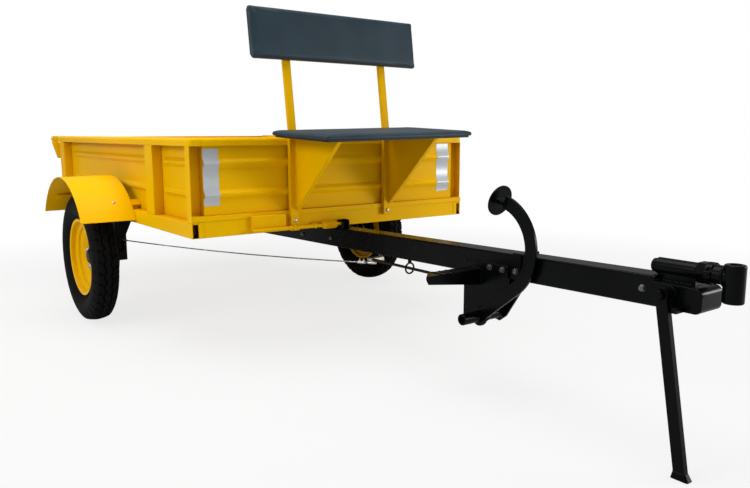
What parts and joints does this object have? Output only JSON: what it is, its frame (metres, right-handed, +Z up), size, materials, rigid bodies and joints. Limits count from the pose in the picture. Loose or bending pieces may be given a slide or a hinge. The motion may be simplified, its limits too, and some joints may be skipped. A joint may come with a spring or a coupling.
{
  "type": "walking tractor trailer",
  "caption": "Single-axle tipping cargo trailer with a pressed-sheet load bed, driver's seat, mudguards, brake pedal, drop stand and swivelling pin hitch on a long drawbar.",
  "frame": {"origin": "centre of the bounding box in plan, on the ground under the tyres and the stand's foot", "axes": "+X forward along the drawbar to the hitch, +Y to the trailer's left, +Z up"},
  "size_m": [3.3086, 1.661, 1.2235],
  "materials": {
    "yellow_paint": "gloss enamel",
    "black_paint": "gloss enamel",
    "zinc": "zinc plated",
    "seat_vinyl": "grained vinyl",
    "seat_wood": "stained dark",
    "tyre_rubber": "matte",
    "pad_rubber": "matte"
  },
  "bodies": {
    "chassis": {"drawbar": "black_paint", "axle": "black_paint", "axle_gussets": "black_paint", "hinge_cheeks": "black_paint", "bed_rest": "pad_rubber", "latch_catch": "black_paint", "brake_plates": "black_paint", "brake_cables": "zinc", "cable_yoke": "zinc", "brake_rod": "zinc", "rod_guide": "black_paint", "pedal_arm": "black_paint", "pedal_pivot": "black_paint", "pedal_brackets": "black_paint", "foot_rests": "black_paint", "drawbar_strap": "black_paint", "hitch_head": "black_paint", "swivel_tube": "black_paint", "stand_mount": "black_paint"},
    "bed": {"side_rails": "yellow_paint", "end_rails": "yellow_paint", "bearers": "yellow_paint", "cross_members": "yellow_paint", "hinge_lugs": "yellow_paint", "bed_floor": "yellow_paint", "side_wall_right": "yellow_paint", "side_wall_left": "yellow_paint", "front_wall": "yellow_paint", "wall_posts": "yellow_paint", "fenders": "yellow_paint", "fender_bars": "yellow_paint", "seat_posts": "yellow_paint", "seat_gussets": "yellow_paint", "seat_board": "seat_wood", "seat_pad": "seat_vinyl", "back_board": "seat_wood", "back_pad": "seat_vinyl", "latch_plate": "yellow_paint", "latch_bolt": "yellow_paint", "gate_lugs": "yellow_paint"},
    "tailgate": {"tailgate": "yellow_paint", "gate_ears": "yellow_paint"},
    "wheel_right": {"tyre_right": "tyre_rubber", "rim_right": "yellow_paint", "hub_right": "black_paint"},
    "wheel_left": {"tyre_left": "tyre_rubber", "rim_left": "yellow_paint", "hub_left": "black_paint"},
    "stand": {"stand_leg": "black_paint"},
    "hitch": {"hitch_shaft": "black_paint", "hitch_tube": "black_paint"}
  },
  "joints": [
    {"name": "bed_tip", "type": "hinge", "parent": "chassis", "child": "bed", "pos_m": [-0.79025, 0, 0.385], "axis": [0, -1, 0], "range_deg": [0, 25]},
    {"name": "tailgate_swing", "type": "hinge", "parent": "bed", "child": "tailgate", "pos_m": [-1.63425, 0, 0.758], "axis": [0, 1, 0], "range_deg": [0, 90]},
    {"name": "wheel_right_spin", "type": "hinge", "parent": "chassis", "child": "wheel_right", "pos_m": [-0.73225, -0.7305, 0.27], "axis": [0, 1, 0], "continuous": true},
    {"name": "wheel_left_spin", "type": "hinge", "parent": "chassis", "child": "wheel_left", "pos_m": [-0.73225, 0.7305, 0.27], "axis": [0, 1, 0], "continuous": true},
    {"name": "stand_fold", "type": "hinge", "parent": "chassis", "child": "stand", "pos_m": [1.50575, -0.075, 0.4209], "axis": [0, 1, 0], "range_deg": [0, 92]},
    {"name": "hitch_swivel", "type": "hinge", "parent": "chassis", "child": "hitch", "pos_m": [1.46075, 0, 0.4719], "axis": [1, 0, 0], "continuous": true}
  ]
}
